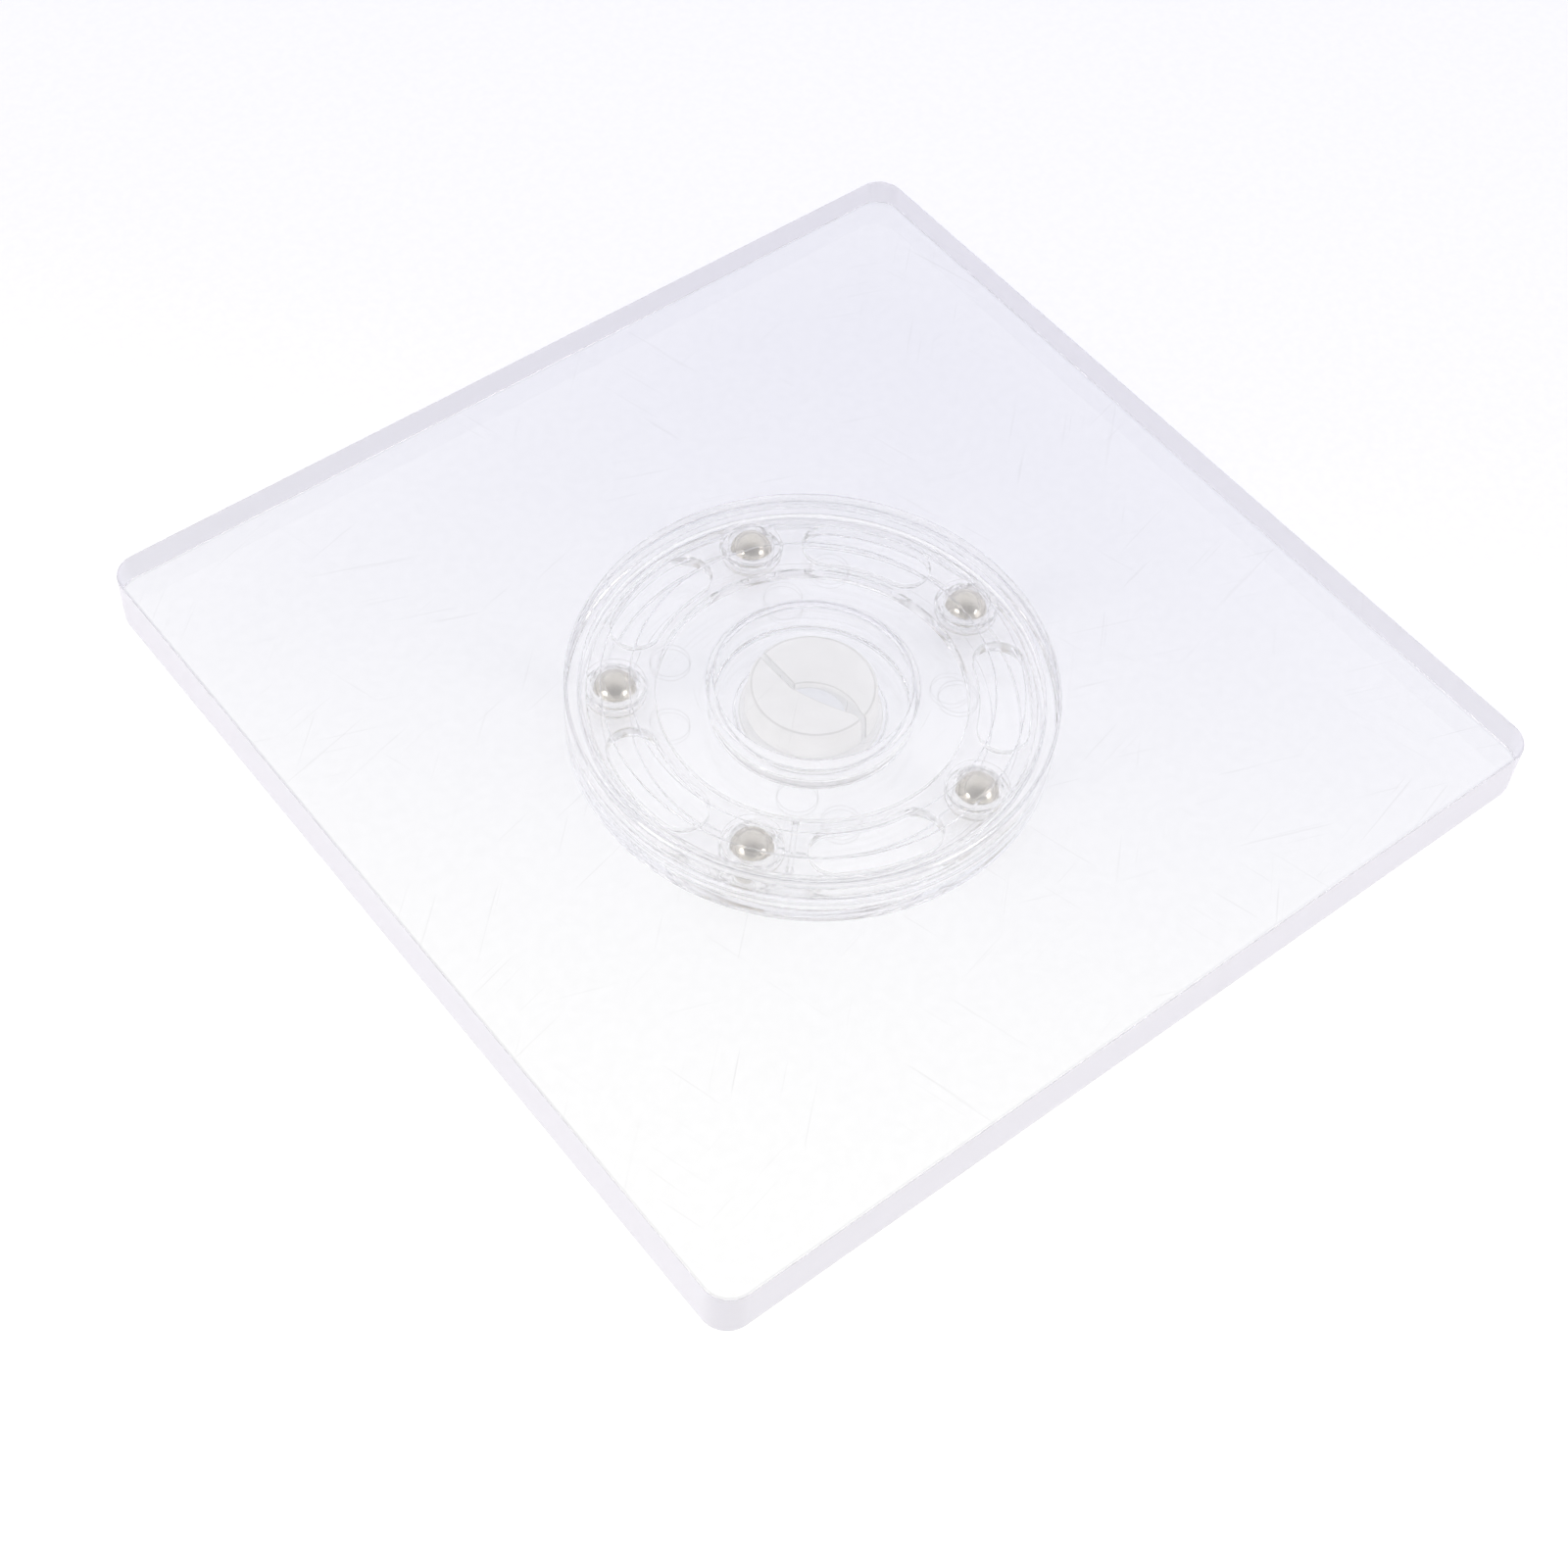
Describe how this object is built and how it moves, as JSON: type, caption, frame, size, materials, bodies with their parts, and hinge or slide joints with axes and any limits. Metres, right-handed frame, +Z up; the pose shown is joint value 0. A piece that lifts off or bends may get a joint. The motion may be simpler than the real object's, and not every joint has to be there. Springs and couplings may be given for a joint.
{
  "type": "turntable display stand",
  "caption": "Clear square display plate on a low round ball-bearing turntable that spins freely and stands on a flat face.",
  "frame": {"origin": "centre of the flat underside of the lower race, on the surface the stand rests on", "axes": "+Z up along the turntable's axis; +X and +Y square to the sides of the plate at rest"},
  "size_m": [0.1, 0.1, 0.0126],
  "materials": {
    "clear_acrylic": "polished clear cast acrylic with fine hairline scratches",
    "clear_adhesive": "clear adhesive film",
    "clear_styrene": "clear injection-moulded plastic, glossy",
    "clear_cage": "clear injection-moulded plastic, slightly hazy",
    "steel": "polished bearing steel",
    "milky_plastic": "translucent milky natural nylon"
  },
  "bodies": {
    "base": {"lower_race": "clear_styrene", "snap_rivet": "milky_plastic"},
    "platform": {"display_plate": "clear_acrylic", "adhesive_ring": "clear_adhesive", "upper_race": "clear_styrene"},
    "cage": {"ball_cage": "clear_cage"},
    "ball_1": {"ball_1": "steel"},
    "ball_2": {"ball_2": "steel"},
    "ball_3": {"ball_3": "steel"},
    "ball_4": {"ball_4": "steel"},
    "ball_5": {"ball_5": "steel"}
  },
  "joints": [
    {"name": "table_spin", "type": "hinge", "parent": "base", "child": "platform", "pos_m": [0, 0, 0.00625], "axis": [0, 0, 1], "continuous": true},
    {"name": "cage_orbit", "type": "hinge", "parent": "base", "child": "cage", "pos_m": [0, 0, 0.00313], "axis": [0, 0, 1], "continuous": true},
    {"name": "ball_1_roll", "type": "hinge", "parent": "cage", "child": "ball_1", "pos_m": [0.01969, -0.00062, 0.00313], "axis": [0.9995, -0.0314, 0], "continuous": true},
    {"name": "ball_2_roll", "type": "hinge", "parent": "cage", "child": "ball_2", "pos_m": [0.00667, 0.01854, 0.00313], "axis": [0.3387, 0.9409, 0], "continuous": true},
    {"name": "ball_3_roll", "type": "hinge", "parent": "cage", "child": "ball_3", "pos_m": [-0.01557, 0.01207, 0.00313], "axis": [-0.7902, 0.6129, 0], "continuous": true},
    {"name": "ball_4_roll", "type": "hinge", "parent": "cage", "child": "ball_4", "pos_m": [-0.01629, -0.01107, 0.00313], "axis": [-0.8271, -0.5621, 0], "continuous": true},
    {"name": "ball_5_roll", "type": "hinge", "parent": "cage", "child": "ball_5", "pos_m": [0.0055, -0.01892, 0.00313], "axis": [0.279, -0.9603, 0], "continuous": true}
  ],
  "couplings": [
    {"joint": "cage_orbit", "follows": "table_spin", "ratio": 0.5},
    {"joint": "ball_1_roll", "follows": "table_spin", "ratio": -4.5121},
    {"joint": "ball_2_roll", "follows": "table_spin", "ratio": -4.5121},
    {"joint": "ball_3_roll", "follows": "table_spin", "ratio": -4.5121},
    {"joint": "ball_4_roll", "follows": "table_spin", "ratio": -4.5121},
    {"joint": "ball_5_roll", "follows": "table_spin", "ratio": -4.5121}
  ]
}
